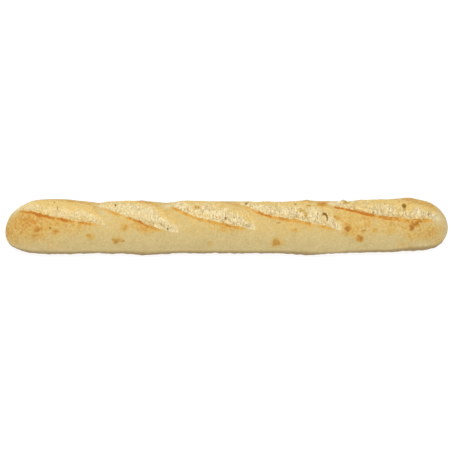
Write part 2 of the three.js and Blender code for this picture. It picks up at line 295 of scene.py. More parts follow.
# Holes in the crumb and a few in the crust: x, turn, reach along, reach round in degrees, depth.
HOLES = [
    (-222, 4, 0.8, 2.4, 0.5), (-214.5, 57, 1.4, 2.6, 1), (-211.5, -1, 1.2, 2.4, 1.2), (-207, 15, 1, 4, 1.2),
    (-177.5, -2, 0.8, 2.4, 0.6), (-171, 6, 0.8, 2.4, 0.5), (-163, 37, 0.9, 2, 0.7), (-159, 39, 1, 2.2, 0.8),
    (-137, 0, 1.2, 3.4, 1.6), (-102, 29, 0.9, 2.2, 0.7), (-84, 26, 0.9, 3, 0.8), (-82, 45, 0.9, 2.4, 1),
    (-80, 48, 0.9, 2.2, 1), (-78, 50, 0.9, 2.4, 1), (-76.5, 36, 0.8, 2, 0.6), (-72.5, 57.5, 1.1, 3, 1.3),
    (-69.5, 56, 0.9, 3.2, 0.9), (-53, 8, 0.9, 2, 0.8), (-45, 14, 1, 2, 0.8), (-38.6, 7, 1, 2.2, 1.1),
    (-35.2, 7.5, 1, 2.2, 1.1), (-29, 18, 0.9, 2.4, 0.9), (-21.5, 16, 0.9, 3, 0.8), (-17, 27, 0.9, 2.4, 0.9),
    (-13, 10, 0.8, 2.4, 0.7), (-13, 31, 0.9, 2.2, 0.9), (-9, 32, 0.8, 2.4, 0.9), (-7, 41, 0.8, 1.8, 0.8),
    (-2, 34, 1.1, 4, 1.8), (2.5, 38, 0.9, 2.2, 0.8), (15, 34, 0.9, 3, 0.8), (23.5, -9, 1.6, 4, 2.2),
    (24, 47, 1, 2, 0.6), (28, 51, 1, 2.2, 0.8), (36, -4, 0.9, 2.6, 0.8), (40.5, 10, 0.8, 2.2, 0.6),
    (50, 10, 0.8, 2.6, 0.6), (52.5, 16, 0.8, 2.2, 0.6), (58.5, 18, 0.9, 3, 0.6), (62.5, 44, 3, 2.4, 0.8),
    (63.5, 18, 0.9, 3.4, 0.9), (70.5, 45, 4, 3, 0.2), (73.5, 7, 0.8, 2.4, 0.6), (78.5, 10, 1, 3, 0.9),
    (83.5, -3, 1.8, 3.4, 1.3), (84, 48, 4, 3.5, 0.22), (89, 19, 1, 3, 1), (99.5, 1, 2.8, 2.4, 1.4),
    (109.5, 34, 1, 3, 0.9), (110, 25, 0.9, 5, 1.3), (119, 45, 0.8, 2.4, 0.6), (165, 6, 0.8, 2.4, 0.6),
    (170, 9, 0.9, 2.4, 0.8), (178.5, 21, 1, 2.6, 1.1), (188, -4, 0.9, 2.4, 0.7), (195, 4, 0.9, 2.6, 0.6),
    (196.5, 23.5, 1, 2.6, 0.9), (207, 14, 0.8, 2.4, 0.5), (211.5, -3, 1, 3, 1), (216.3, 10.5, 2.2, 5, 3),
    (216.3, 18, 1.9, 7, 0.9), (217.5, 28, 1, 3, 0.8), (222, 5, 0.8, 3, 0.7), (222, 31, 0.9, 2, 0.8),
    (229.5, 31, 0.9, 2, 0.6), (246, 28, 1.4, 2.6, 1.2), (249.5, 27, 0.9, 2, 0.8),
]
HOLE_EXTENT = 3  # how many reaches from its middle a hole has faded away
# Small chance pores: how far they stay from a slash's ends, far edge and ear, and the ranges of their size
# along the loaf, of their depth and of how many times as long they are round it.
PORE_MARGINS = (4, 4, 3)
PORE_SIZES = (0.6, 1.2)
PORE_DEPTHS = (0.1, 0.6)
PORE_STRETCHES = (2, 4)
PORE_CLUSTERS = 9  # size of the clusters that they lie in
PORE_THINNING = 0.1  # noise below which a pore is left out
PORE_SEED = 5

# Where the crumb is more golden, or paler where the strength is below 0: x, turn, reach along, reach round,
# strength.
CRUMB_TINTS = [
    (-226, 25, 8, 5, 0.6), (-217, 13, 8, 7, 0.35), (-190, 9, 10, 10, 0.3), (-188, 19.5, 7, 6, 0.3),
    (-184, 44, 7, 6, 0.3), (-146, -8, 7, 9, 0.5), (-128, -18, 26, 9, 0.5), (-100, 8, 16, 9, -0.3),
    (-100, 49, 6, 6, 0.25), (-88, 20, 6, 9, -0.4), (-46, -12, 10, 7, 0.4), (-44, -3, 6, 6, 0.5),
    (-43, 29, 6, 6, 0.3), (-41.5, 7, 6, 7, 0.4), (-39, 23, 8, 5, 0.5), (-37.5, 43, 6, 5, 0.3),
    (-35, -17, 24, 8, 0.4), (-25.5, 26.5, 6, 6, 0.35), (-18, 4, 8, 7, -0.3), (13, -13, 7, 6, -0.3),
    (38, -8, 10, 8, 0.45), (44, -18, 32, 10, 0.8), (97, -14, 8, 6, 0.35), (107, 12, 6, 9, -0.5),
    (139, -9, 6, 7, -0.5), (146, -12, 6, 7, 0.8), (158, 0, 6, 7, 0.5), (168, 9, 5, 6, 0.5),
    (183, 22, 6, 7, -0.6), (191, -4, 12, 7, 0.4), (199, 21, 5, 9, -0.4), (208, 9, 5, 13, 0.6),
    (216, 25, 4, 8, -0.1), (219, 19, 5, 7, 0.6), (223, 13, 5, 9, 0.4), (224, 1, 8, 7, 0.5),
    (225, 44, 6, 6, 0.3), (233, 22, 6, 10, -0.7), (252, 31, 6, 8, -0.6),
]
# Pale patches and flecks of flour, painted highlights on small blisters, and painted light that brightens
# shaded places at the notches and the tips: x, turn, reach along, reach round, strength.
FLECKS_AND_PAINTED_LIGHT = [
    (-260, 2, 5, 9, 0.3), (-255, -5, 5, 7, 0.65), (-161, -11, 5, 8, 0.22), (-156, 37, 5, 8, 0.2),
    (-149.5, 19, 6, 6, 0.15), (-108, 34, 5, 5, 0.15), (-74, -2, 5, 8, 0.5), (-67, 59, 4, 4, 0.45),
    (-61, 53, 5, 5, 0.2), (12.5, -16, 7, 6, 0.2), (23, 49, 5, 5, 0.25), (32, 13, 6, 5, 0.2),
    (109, 96, 1, 1.6, 0.8), (126, -8, 4, 5, 0.2), (127.5, -10, 4, 5, 0.5), (137, -5, 6, 6, 0.35),
    (143, -14, 3, 4, 0.2), (158.5, -15, 7, 6, 0.15), (205.5, 45, 1.6, 1.6, 0.5), (229, 63, 1.6, 1.6, 0.5),
    (236, 98, 1, 1.6, 0.8), (243, 101, 1, 1.6, 1), (257, 34, 6, 6, 0.5), (258, 18, 6, 8, 0.22),
    (258, 45, 6, 7, 0.25), (258, 62, 1.2, 2, 0.5), (267, 22, 6, 16, 0.22), (268, 54, 7, 9, 0.2),
]

# A burst bubble: x, turn, reach along, reach round in degrees, depth of its hollow, height of its wall.
BUBBLE = (117.7, 34.5, 4.5, 13, 3, 0.35)
BUBBLE_FLOOR = (1.05, 0.4)  # how many reaches from its middle its floor ends, and over how many it fades
BUBBLE_RIM = (1.15, 0.25)  # where its wall stands up, and how wide that is
# Painted shade darkens the bubble's wall on its deep side; where, how wide, towards where and how strongly
# is set here.
BUBBLE_SHADE = (0.85, 0.17)  # where its wall is dark, and how wide that is
BUBBLE_LEAN = 0.8  # how much its deep dark side, on the right, also lies towards the top
SHADE_STRENGTH = 1.35
SHADE_START = 0.3  # how far before its middle the dark wall begins
DEEP_START = 0.5  # how far before its middle the deep side begins
DEEP_SHARE = 0.4  # share of its depth that only the deep side has

# The loaf's underside, its flat base, the shaded edge above that, and the golden upper part: where each
# ends, over how much it fades, and how much the noise moves that.
UNDERSIDE_TURN = 132
UNDERSIDE_FADE = 10
# Along the lowest edge the browned base's dark colour is partly painted shade where the loaf meets the
# floor.
BASE_HEIGHT = 4.5  # how high up the sides the browned base reaches
BASE_FADE = 4
BASE_RAGGEDNESS = 0.5
EDGE_HEIGHT = 13
EDGE_FADE = 7
# Where the shaded edge reaches higher, or lower where this is below 0: x, reach, millimetres more.
HIGH_EDGES = [(-216, 16, 1), (50, 16, 0.8), (132, 12, -1.2), (180, 12, 1), (224, 20, 2.6), (262, 8, -1.6)]
UPPER_TURN = 88
UPPER_FADE = 45
UPPER_RAGGEDNESS = 5

# Layers of noise: height, size of the features in millimetres, seed. Three sizes are along the loaf, round
# it and through it.
RAGGEDNESS = [(1, 2.4, 1), (0.5, 9, 2)]
TEETH = [(2.4, 2.6, 14)]
CRUMB_FIBRES = [(0.42, (1.7, 4.2, 1), 3)]
CRUMB_LUMPS = [(0.55, 6.5, 4)]
CRUMB_TEARS = (0.4, (4.5, 7, 1), 5)
ROLLING = [(0.45, 26, 6), (0.22, 11, 7)]
WRINKLES = [(0.1, 4.2, 8), (0.05, 2, 9)]
UNDERSIDE_DENTS = [(0.25, 7, 10)]
UNDERSIDE_SINKING = 0.25  # how far the whole underside is drawn in
FOOT = [(0.9, (6, 40, 1), 15)]
FOOT_TURN = 134  # turn of the uneven lower edge
FOOT_REACH = 9
# How far the spots' outlines wander along the loaf in millimetres and round it in degrees.
WANDER_ALONG = [(2.4, 4.5, 11), (1.2, 2, 13)]
WANDER_ROUND = [(5, 5, 12)]
SEED_STEP = 17.3  # how far apart in the noise two seeds lie
CREST_SHARPNESS = 3  # the crests lie where the smooth noise passes through 0

MOST = 1.3  # the strongest that toasting and baking get
GLOW_TOASTING = 0.5  # how much the glow below an ear toasts the crust
# Painted shade inside the holes and on the burst bubble's floor.
DEEPEST_SHADE = 1.2  # how dark the deepest holes are
FLOOR_SHADE = 0.3  # how dark the burst bubble's floor is
FLOOR_BAKING = 0.15

# The marks that the mesh carries for its material.
MARKS = (
    "ear", "crumb", "rim", "baked", "creased", "toast", "upper", "spot", "burnt", "dull", "pore_shade", "under",
    "bottom", "fleck",
)

# ---- The mesh ----

ROWS = 152
END_COLUMNS = 84
END_LENGTH = 50
MIDDLE_COLUMNS = 480
COLUMNS = MIDDLE_COLUMNS + 2 * END_COLUMNS
DENSE_TURNS = (-44, 80)  # between these turns the rows lie closer together
DENSITY_GAIN = 2.2
DENSITY_FADE = 20
TURN_SAMPLES = 3601
FITTED_ROWS = 4  # rows on each side that make room for an ear's rows
NUDGE = 0.02  # step used to measure the surface's slope
FULLY = 0.99  # above this the underside counts as flat

# ---- The bread's patterns ----

# Size of the features in metres, detail, roughness.
PATTERNS = {
    "clouds": (0.045, 3, 0.5),
    "mottle": (0.011, 3, 0.6),
    "speckle": (0.0042, 3, 0.65),
    "fine": (0.0019, 2, 0.7),
    "dust": (0.0029, 1, 0.5),
}
THREADS = (0.0021, 3, 0.7)
CURLS = (0.0047, 2, 0.65)
CELL_SIZE = 0.0034
CRUMB_STRETCH = (1.0, 0.42, 0.42)  # the crumb's threads and pores are longer round the loaf than along it

# ---- The stage ----

PAPER = (0.17, 0.17, 0.17, 1)
WHITE = (1, 1, 1, 1)
LAMP_PLACE = (-0.1, -0.5, 2.0)
LAMP_SIZE = (2.4, 1.6)
SENSOR_WIDTH = 36
LENS = 115.45
AIM = (-0.001, 0, 0.022)
AIM_RISE = 0.00133  # how far above that place, as the camera sees it, the picture's middle is


# ---- Shape functions ----


def smooth_step(t):
    """Rises from 0 to 1, smoothly, as t goes from 0 to 1."""
    clamped = np.clip(t, 0, 1)
    return clamped * clamped * (3 - 2 * clamped)


def bell(distance, reach):
    """A bell of height 1 round 0 that has fallen to 1/e at reach."""
    return np.exp(-((distance / reach) ** 2))


def within(distance, edge, fade):
    """1 well within an edge, falling smoothly to 0 at it."""
    return smooth_step((edge - distance) / fade)


def ring(distance, place, width):
    """A bell of height 1 round a place other than 0."""
    return bell(distance - place, width)


def line_through(places, x):
    """The turn at x of a smooth line through places (x, turn)."""
    knots, turns = np.array(places, float).T
    slopes = np.diff(turns) / np.diff(knots)
    tangents = np.concatenate([slopes[:1], (slopes[1:] + slopes[:-1]) / 2, slopes[-1:]])
    clamped = np.clip(x, knots[0], knots[-1])
    i = np.clip(np.searchsorted(knots, clamped) - 1, 0, len(knots) - 2)
    width = knots[i + 1] - knots[i]
    t = (clamped - knots[i]) / width
    start = (1 + 2 * t) * (1 - t) ** 2 * turns[i] + t * (1 - t) ** 2 * width * tangents[i]
    end = t * t * (3 - 2 * t) * turns[i + 1] + t * t * (t - 1) * width * tangents[i + 1]
    return start + end


def end_profile(from_tip, length):
    """Half-thickness of an end, from 0 at the tip to 1 at its full length."""
    t = np.clip(from_tip / length, 0, 1)
    return np.sqrt(np.maximum(1 - (1 - t) ** END_FULLNESS, 0))


def squared(value):
    """Sine or cosine reshaped so that the section is squarer than an ellipse."""
    return np.sign(value) * np.abs(value) ** (2 / SQUARENESS)


def bumps(places, x, turn):
    """Sum of bells (x, turn, reach along, reach round, height) at places on the loaf."""
    total = np.zeros_like(x)
    for at_x, at_turn, along, round_, height in places:
        total += height * bell(x - at_x, along) * bell(turn - at_turn, round_)
    return total


def swells(places, x):
    """Sum of bells (x, reach, height) along the loaf."""
    return sum(height * bell(x - at_x, reach) for at_x, reach, height in places)


def oval(x, turn, at_x, at_turn, along, round_):
    """Distance from a place, as a share of its reach along and round the loaf."""
    return np.hypot((x - at_x) / along, (turn - at_turn) / round_)


def grain(points, size, seed):
    """Smooth noise from about -1 to 1 at points. The size of its features may differ along each axis."""
    scaled = points / np.broadcast_to(size, 3) + seed * SEED_STEP
    return np.fromiter((noise.noise(point) for point in scaled.tolist()), float, len(scaled))


def layers(points, rows):
    """Sum of layers of smooth noise (height, size, seed) at points."""
    return sum(height * grain(points, size, seed) for height, size, seed in rows)


def crust_point(x, turn):
    """Points of the loaf without its slashes."""
    from_tip = LENGTH / 2 - np.abs(x)
    side_end, top_end, under_end = [
        np.where(x < 0, end_profile(from_tip, left), end_profile(from_tip, right))
        for left, right in zip(LEFT_END, RIGHT_END)
    ]
    stoutness = 1 + swells(STOUT_PLACES, x)
    to_tip = np.clip(1 - from_tip / TIP_REACH, 0, 1)
    axis = WIDEST_HEIGHT - (WIDEST_HEIGHT - TIP_HEIGHT) * to_tip**2
    bend = BEND * np.maximum((x - BEND_START) / (LENGTH / 2 - BEND_START), 0) ** 2

    swell = bumps(SWELLINGS, x, turn) * side_end
    width = HALF_WIDTH * stoutness * side_end + swell
    upward = np.cos(np.radians(turn))
    upper = (HEIGHT * stoutness - axis) * top_end + swell
    depth = np.where(upward > 0, upper, UNDER_DEPTH * under_end)
    y = bend - width * squared(np.sin(np.radians(turn)))
    z = axis + depth * squared(upward)
    corner = np.maximum(BASE_ROUNDING - np.abs(z), 0)
    z = np.maximum(z, 0) + corner**2 / (4 * BASE_ROUNDING)
    return np.stack([x, y, z], axis=-1)


def outward(x, turn):
    """The directions that face straight out of the loaf at places on it."""
    along = crust_point(x + NUDGE, turn) - crust_point(x - NUDGE, turn)
    round_ = crust_point(x, turn + NUDGE) - crust_point(x, turn - NUDGE)
    across = np.cross(round_, along)
    return across / np.linalg.norm(across, axis=-1, keepdims=True)


def share_along(slash, x):
    """How far along a slash x is, from 0 at its start to 1 at its end."""
    start = slash["ear"][0][0]
    end = slash["ear"][-1][0]
    return (x - start) / (end - start)


def ear_turn(slash, x):
    """The turn of a slash's ear at x."""
    return line_through(slash["ear"], x)


def faded(share, fades):
    """1 along a slash, fading in and out at its ends, and 0 past them."""
    crossed = (share > 0) & (share < 1)
    return np.where(crossed, smooth_step(share / fades[0]) * smooth_step((1 - share) / fades[1]), 0)


# ---- The mesh's rows and columns ----


def column_places():
    """Places along the loaf of the mesh's columns, tip to tip, closer together towards both tips."""
    steps = np.arange(END_COLUMNS + 1) / END_COLUMNS
    left = -LENGTH / 2 + END_LENGTH * (1 - np.cos(np.pi / 2 * steps))
    middle = np.linspace(left[-1], -left[-1], MIDDLE_COLUMNS + 1)
    return np.concatenate([left[:-1], middle, -left[-2::-1]])


def plain_turns():
    """Turns of the mesh's rows from -180 up, closer together where the slashes are."""
    turns = np.linspace(-180, 180, TURN_SAMPLES)
    low, high = DENSE_TURNS
    dense = smooth_step((turns - low) / DENSITY_FADE) * smooth_step((high - turns) / DENSITY_FADE)
    crowding = np.cumsum(1 + DENSITY_GAIN * dense)
    crowding = (crowding - crowding[0]) / (crowding[-1] - crowding[0])
    return np.interp(np.arange(ROWS) / ROWS, crowding, turns)


def fit_rows(turns, moved_row, turn, fixed_row):
    """Moves one row to a turn, and spaces the rows between it and a fixed row evenly."""
    low, high = sorted((moved_row, fixed_row))
    ends = (turn, turns[high]) if moved_row == low else (turns[low], turn)
    turns[low : high + 1] = np.linspace(*ends, high - low + 1)


def row_turns(places):
    """Turns of the rows at each column, with one on each ear and the next at the foot of its rear face."""
    table = np.tile(plain_turns(), (len(places), 1))
    for slash in SLASHES:
        share = share_along(slash, places)
        ears = ear_turn(slash, places)
        for column in np.flatnonzero((share > 0) & (share < 1)):
            turns = table[column]
            ear_row = int(np.argmin(np.abs(turns - ears[column])))
            fit_rows(turns, ear_row, ears[column], ear_row + FITTED_ROWS)
            foot = ears[column] - STEP_WIDTH / ARC
            fit_rows(turns, ear_row - 1, foot, ear_row - 1 - FITTED_ROWS)
    return table


def ball_places(mesh):
    """x and turn of each vertex of the ball that becomes the loaf, and which vertices are its two tips."""
    ball = np.empty(len(mesh.vertices) * 3)
    mesh.vertices.foreach_get("co", ball)
    along, across, up = np.clip(ball.reshape(-1, 3), -1, 1).T
    column = np.rint(np.degrees(np.arccos(-along)) * COLUMNS / 180).astype(int)
    row = np.rint((np.degrees(np.arctan2(-across, up)) + 180) * ROWS / 360).astype(int) % ROWS
    places = column_places()
    return places[column], row_turns(places)[column, row], (column == 0) | (column == COLUMNS)


# ---- The loaf's relief and marks ----


def slash_height(slash, x, turn, sizes, ragged):
    """Height of a slash's lip, cut and risen bloom above the plain loaf."""
    share = share_along(slash, x)
    behind = ear_turn(slash, x) - turn
    far = behind * ARC
    gap = bell(x - slash["gap"], GAP_REACH)
    lip = sizes.lip_height / MM * (1 - GAP_LOSS * gap) * (1 + LIP_UNEVENNESS * ragged)
    opening = slash["opening"] * np.maximum(4 * share * (1 - share), TINY) ** LEAF_POWER
    across = behind / opening
    rise = 4 * across * (1 - across) * sizes.bloom_height / MM
    cut = (1 - across) * sizes.cut_depth / MM * np.exp(-np.maximum(far, 0) / CUT_REACH)
    in_front = lip * np.exp(np.minimum(far, 0) / LIP_REACH)
    in_bloom = np.where(across < 1, rise - cut, 0)
    return faded(share, RELIEF_FADES) * np.where(behind <= 0, in_front, in_bloom)


def slash_marks(slash, x, turn, tint, ragged, teeth):
    """How strongly a slash's marks show. Tint is how much more golden the crumb is, and teeth are how far
    the toasted edge reaches back over it."""
    share = share_along(slash, x)
    behind = ear_turn(slash, x) - turn
    far = behind * ARC
    at_x, brown, lower = np.array(slash["toasting"]).T
    toasting = np.where((share > 0) & (share < 1), np.interp(x, at_x, brown), 0)
    below = -far - np.interp(x, at_x, lower) * ARC
    band = within(below - ragged, BAND_BOTTOM + swells(BROAD_BANDS, x), BAND_BOTTOM_FADE)
    band *= smooth_step((below - BAND_TOP + teeth + BAND_RAGGEDNESS * ragged) / BAND_TOP_FADE)
    band *= within(far - teeth, BAND_TOP, BAND_REAR_FADE)

    beyond = turn - line_through(slash["far"], x)
    inside = smooth_step((beyond + CRUMB_MARGIN + CRUMB_RAGGEDNESS * ragged) / CRUMB_FADE)
    inside *= within(below, *CRUMB_BOTTOM)
    shown = faded(share, CRUMB_FADES)
    from_ear = behind / np.maximum(behind + beyond, 1)
    first, last = slash["turns_golden"]
    golden = smooth_step((from_ear + GOLDEN_RAGGEDNESS * ragged - first) / (last - first))
    rim = bell(beyond - RIM_TURN - RIM_RAGGEDNESS * ragged, RIM_REACH) * (behind > 0)
    return {
        "ear": toasting * band * (1 + BAND_UNEVENNESS * ragged),
        "glow": toasting * np.exp(np.minimum(far, 0) / GLOW_REACH) * (far <= 0),
        "crumb": shown * inside,
        "creased": shown * inside * slash["creases"],
        "baked": shown * inside * (slash["baking"] + tint + golden),
        "rim": RIM_STRENGTH * shown * rim,
    }


def all_slash_marks(x, turn, ragged, teeth):
    """The strongest of each mark that the slashes leave."""
    tint = bumps(CRUMB_TINTS, x, turn)
    each = [slash_marks(slash, x, turn, tint, ragged, teeth) for slash in SLASHES]
    return {name: np.maximum(np.max([marks[name] for marks in each], axis=0), 0) for name in each[0]}


def spots(x, turn, wander):
    """How toasted, how burnt and how dull the spots make each place. Wander makes their outlines uneven."""
    toasted, burnt, dull = (np.zeros_like(x) for _ in range(3))
    for at_x, at_turn, along, round_, strength, share_burnt, share_dull in SPOTS:
        from_middle = oval(x + wander[0], turn + wander[1], at_x, at_turn, along, round_)
        spot = strength * within(from_middle, *TOASTED_PART)
        toasted = np.maximum(toasted, spot)
        burnt = np.maximum(burnt, spot * share_burnt * within(from_middle, *BURNT_PART))
        dull = np.maximum(dull, share_dull * within(from_middle, *DULL_PART))
    return toasted, burnt, dull


def chance_pores():
    """Places, sizes and depths of the small chance pores in the slashes."""
    chance = np.random.default_rng(PORE_SEED)
    end_margin, far_margin, ear_margin = PORE_MARGINS
    places = []
    for slash in SLASHES:
        start, end = slash["ear"][0][0], slash["ear"][-1][0]
        for _ in range(slash["pores"]):
            at_x = chance.uniform(start + end_margin, end - end_margin)
            low, high = line_through(slash["far"], at_x), ear_turn(slash, at_x)
            at_turn = chance.uniform(low + far_margin, high - ear_margin)
            size = chance.uniform(*PORE_SIZES)
            deep = chance.uniform(*PORE_DEPTHS)
            cluster = (at_x / PORE_CLUSTERS, at_turn * ARC / PORE_CLUSTERS, PORE_SEED)
            if noise.noise(cluster) > PORE_THINNING:
                places.append((at_x, at_turn, size, size * chance.uniform(*PORE_STRETCHES), deep))
    return places


def pores(x, turn, depth):
    """Depth of the pores at places on the loaf: the named holes and many small chance ones."""
    total = np.zeros_like(x)
    for at_x, at_turn, along, round_, deep in HOLES + chance_pores():
        close_along = np.abs(x - at_x) < HOLE_EXTENT * along
        near = np.flatnonzero(close_along & (np.abs(turn - at_turn) < HOLE_EXTENT * round_))
        hollow = bell(oval(x[near], turn[near], at_x, at_turn, along, round_), 1)
        total[near] = np.maximum(total[near], deep * depth * hollow)
    return total


def burst_bubble(x, turn):
    """Relief of the burst bubble, how much painted shade darkens its wall, and how much of each place is
    its smooth floor.
    """
    at_x, at_turn, along, round_, hollow, wall = BUBBLE
    from_middle = oval(x, turn, at_x, at_turn, along, round_)
    floor = within(from_middle, *BUBBLE_FLOOR)
    rim = ring(from_middle, *BUBBLE_RIM)
    side = (x - at_x) / along - BUBBLE_LEAN * (turn - at_turn) / round_
    dark = SHADE_STRENGTH * ring(from_middle, *BUBBLE_SHADE) * smooth_step(side + SHADE_START)
    depth = hollow * floor * (1 - DEEP_SHARE + DEEP_SHARE * smooth_step(side + DEEP_START))
    return wall * rim - depth, dark, floor


def crumb_relief(plain, spread):
    """Relief of the open crumb: fibres, lumps and torn crests."""
    height, size, seed = CRUMB_TEARS
    crests = 1 - np.minimum(np.abs(grain(spread, size, seed)) * CREST_SHARPNESS, 1)
    return layers(spread, CRUMB_FIBRES) + layers(plain, CRUMB_LUMPS) + height * (crests - 0.5)


def to_frame(coarse):
    """How far the loaf moves along x and y, so that its coarse form lies in the middle of the frame."""
    middle = (coarse.min(0) + coarse.max(0)) / 2
    frame_middle = (np.array(frame_box[0]) + np.array(frame_box[1])) / 2 / MM
    return (frame_middle - middle) * np.array([1, 1, 0])


def shape_loaf(mesh, sizes):
    """Moves the vertices of a ball of rows and columns to the loaf's surface, and marks them."""
    x, turn, tips = ball_places(mesh)
    plain = crust_point(x, turn)
    inner_end = LENGTH / 2 - 2 * NUDGE
    facing = outward(np.clip(x, -inner_end, inner_end), turn)
    facing[tips] = np.sign(x[tips])[:, None] * np.array([1.0, 0.0, 0.0])

    spread = np.stack([x, turn * ARC, np.zeros_like(x)], axis=-1)
    ragged = layers(spread, RAGGEDNESS)
    height = sum(slash_height(slash, x, turn, sizes, ragged) for slash in SLASHES)
    marks = all_slash_marks(x, turn, ragged, np.maximum(layers(spread, TEETH), 0))
    crumb = marks["crumb"]
    hollow = pores(x, turn, sizes.pore_depth / MM)
    bubble, bubble_wall_shade, bubble_floor = burst_bubble(x, turn)
    wander = (layers(spread, WANDER_ALONG), layers(spread, WANDER_ROUND))
    toasted_spot, burnt, dull = spots(x, turn, wander)

    relief = height + crumb * crumb_relief(plain, spread) * sizes.crumb_roughness
    relief += (1 - crumb) * (layers(plain, WRINKLES) + BLISTER_HEIGHT * toasted_spot)
    relief += layers(plain, ROLLING) + bumps(KNOBS, x, turn)
    relief += crumb * bubble - hollow
    under = smooth_step((np.abs(turn) - UNDERSIDE_TURN) / UNDERSIDE_FADE)
    dents = UNDERSIDE_SINKING + layers(plain, UNDERSIDE_DENTS)
    foot = bell(np.abs(turn) - FOOT_TURN, FOOT_REACH) * layers(spread, FOOT)
    relief = relief * (1 - under) - under * dents + foot
    relief[tips] = 0
    points = plain + facing * relief[:, None]
    points[:, 2] = np.maximum(points[:, 2], np.where(under > FULLY, plain[:, 2], 0))
    points += to_frame(plain + facing * height[:, None])
    mesh.vertices.foreach_set("co", (points * MM).ravel())

    up = plain[:, 2]
    bubble_shade = np.maximum(bubble_wall_shade, FLOOR_SHADE * bubble_floor)
    marks |= {
        "baked": np.clip(marks["baked"] + FLOOR_BAKING * bubble_floor, 0, MOST),
        "creased": marks["creased"] * (1 - bubble_floor),
        # Toasting, and painted shade below two of the ears.
        "toast": np.clip(bumps(TOASTED_AND_SHADED, x, turn) + GLOW_TOASTING * marks["glow"], 0, MOST),
        "upper": smooth_step((UPPER_TURN - np.abs(turn) + UPPER_RAGGEDNESS * ragged) / UPPER_FADE),
        "spot": toasted_spot,
        "burnt": burnt,
        "dull": dull,
        # Painted shade in the holes, darker for deeper ones, and on the burst bubble's wall and floor.
        "pore_shade": DEEPEST_SHADE * (1 - np.exp(-hollow)) + crumb * bubble_shade,
        # Painted shade on the crust just above the flat base, with some browning of its rim.
        "under": smooth_step((EDGE_HEIGHT + swells(HIGH_EDGES, x) + ragged - up) / EDGE_FADE),
        # The browned base, partly painted shade along the lowest edge where the loaf meets the floor.
        "bottom": smooth_step((BASE_HEIGHT + BASE_RAGGEDNESS * ragged - up) / BASE_FADE),
        # Flecks of flour, with painted highlights on small blisters and painted light on shaded places.
        "fleck": np.clip(bumps(FLECKS_AND_PAINTED_LIGHT, x, turn), 0, 1),
    }
    for name in MARKS:
        layer = mesh.attributes.new(name, "FLOAT", "POINT")
        layer.data.foreach_set("value", marks[name].astype(np.float32))


# ---- Shader building ----


class Value:
    """A number that changes over the surface. Arithmetic on it adds Math nodes."""

    def __init__(self, graph, socket):
        self.graph = graph
        self.socket = socket

    def _math(self, operation, first, second):
        return self.graph.value(0, "ShaderNodeMath", {"operation": operation}, {0: first, 1: second})

    def __add__(self, other):
        return self._math("ADD", self, other)

    def __sub__(self, other):
        return self._math("SUBTRACT", self, other)

    def __rsub__(self, other):
        return self._math("SUBTRACT", other, self)

    def __mul__(self, other):
        return self._math("MULTIPLY", self, other)

    __radd__ = __add__
    __rmul__ = __mul__

    def larger(self, other):
        """The larger of this and another value."""
        return self._math("MAXIMUM", self, other)

    def step(self, low, high):
        """Rises smoothly from 0 to 1 as this goes from low to high."""
        settings = {"interpolation_type": "SMOOTHSTEP"}
        sockets = {"Value": self, "From Min": low, "From Max": high}
        return self.graph.value("Result", "ShaderNodeMapRange", settings, sockets)


def opaque(source):
    """A plain colour gets full alpha. A value or a socket stays as it is."""
    return (*source, 1.0) if isinstance(source, Color) else source


class Graph:
    """The node tree of one material."""

    def __init__(self, name):
        self.material = bpy.data.materials.new(name)
        self.material.use_nodes = True
        self.nodes = self.material.node_tree.nodes
        self.nodes.clear()
        self.place = self.node("ShaderNodeTexCoord").outputs["Object"]

    def node(self, kind, settings=None, sockets=None):
        """Adds a node of a kind: its settings first, then the values and links of its sockets."""
        made = self.nodes.new(kind)
        for name, value in (settings or {}).items():
            setattr(made, name, value)
        for name, value in (sockets or {}).items():
            source = value.socket if isinstance(value, Value) else value
            if isinstance(source, bpy.types.NodeSocket):
                self.material.node_tree.links.new(source, made.inputs[name])
            else:
                made.inputs[name].default_value = source
        return made

    def value(self, output, kind, settings=None, sockets=None):
        """Adds a node and returns one of its outputs as a value."""
        return Value(self, self.node(kind, settings, sockets).outputs[output])

    def mark(self, name):
        """A mark that the mesh carries."""
        return self.value("Fac", "ShaderNodeAttribute", {"attribute_name": name})

    def grain(self, size, detail, roughness, vector=None):
        """Noise from 0 to 1 with features of a size in metres."""
        sockets = {"Scale": 1 / size, "Detail": detail, "Roughness": roughness}
        sockets["Vector"] = vector or self.place
        return self.value("Fac", "ShaderNodeTexNoise", {}, sockets)

    def blend(self, first, second, share, mode="MIX"):
        """A colour between two colours."""
        sockets = {0: share, 6: opaque(first), 7: opaque(second)}
        made = self.node("ShaderNodeMix", {"data_type": "RGBA", "blend_type": mode}, sockets)
        return made.outputs[2]

    def coated(self, surface, coats):
        """A colour with others laid over it in turn, each by its share."""
        for over, share in coats:
            surface = self.blend(surface, over, share)
        return surface

    def finish(self, **sockets):
        """Adds the shader with its sockets' values and links, and returns the material."""
        plain = {name.replace("_", " "): value for name, value in sockets.items()}
        shader = self.node("ShaderNodeBsdfPrincipled", {}, plain)
        self.node("ShaderNodeOutputMaterial", {}, {"Surface": shader.outputs["BSDF"]})
        return self.material


# In the bread's colours, step(low, high) says at which value of a pattern or mark something begins to show
# and at which it shows fully. A factor after it is the most that it shows.


